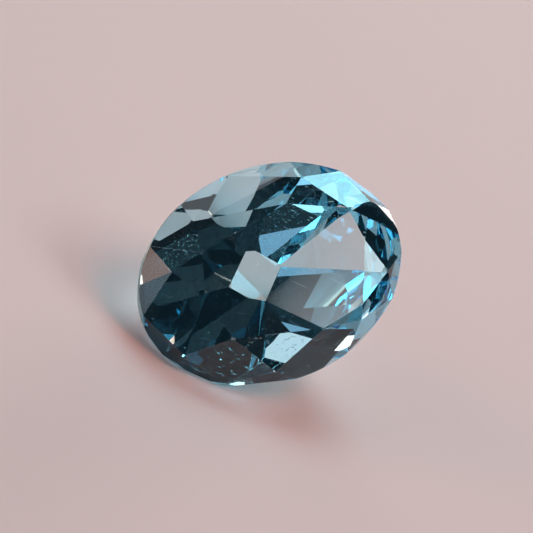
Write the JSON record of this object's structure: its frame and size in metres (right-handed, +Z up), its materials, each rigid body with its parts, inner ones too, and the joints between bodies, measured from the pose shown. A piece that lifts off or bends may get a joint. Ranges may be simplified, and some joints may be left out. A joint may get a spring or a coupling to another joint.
{
  "type": "oval-cut blue topaz gemstone",
  "caption": "Loose faceted oval gemstone of clear blue topaz, lying on a pavilion facet with its table facing up and forward; for display or setting.",
  "frame": {"origin": "centre of the stone's plan at the surface it lies on", "axes": "+Z up from the surface; -Y towards the side that the table faces; +X to the right seen from there, roughly along the oval's length"},
  "size_m": [0.007, 0.0056, 0.0047],
  "materials": {
    "topaz": "polished clear blue crystal with lightly worn facet edges"
  },
  "bodies": {
    "root": {"topaz": "topaz"}
  },
  "joints": []
}
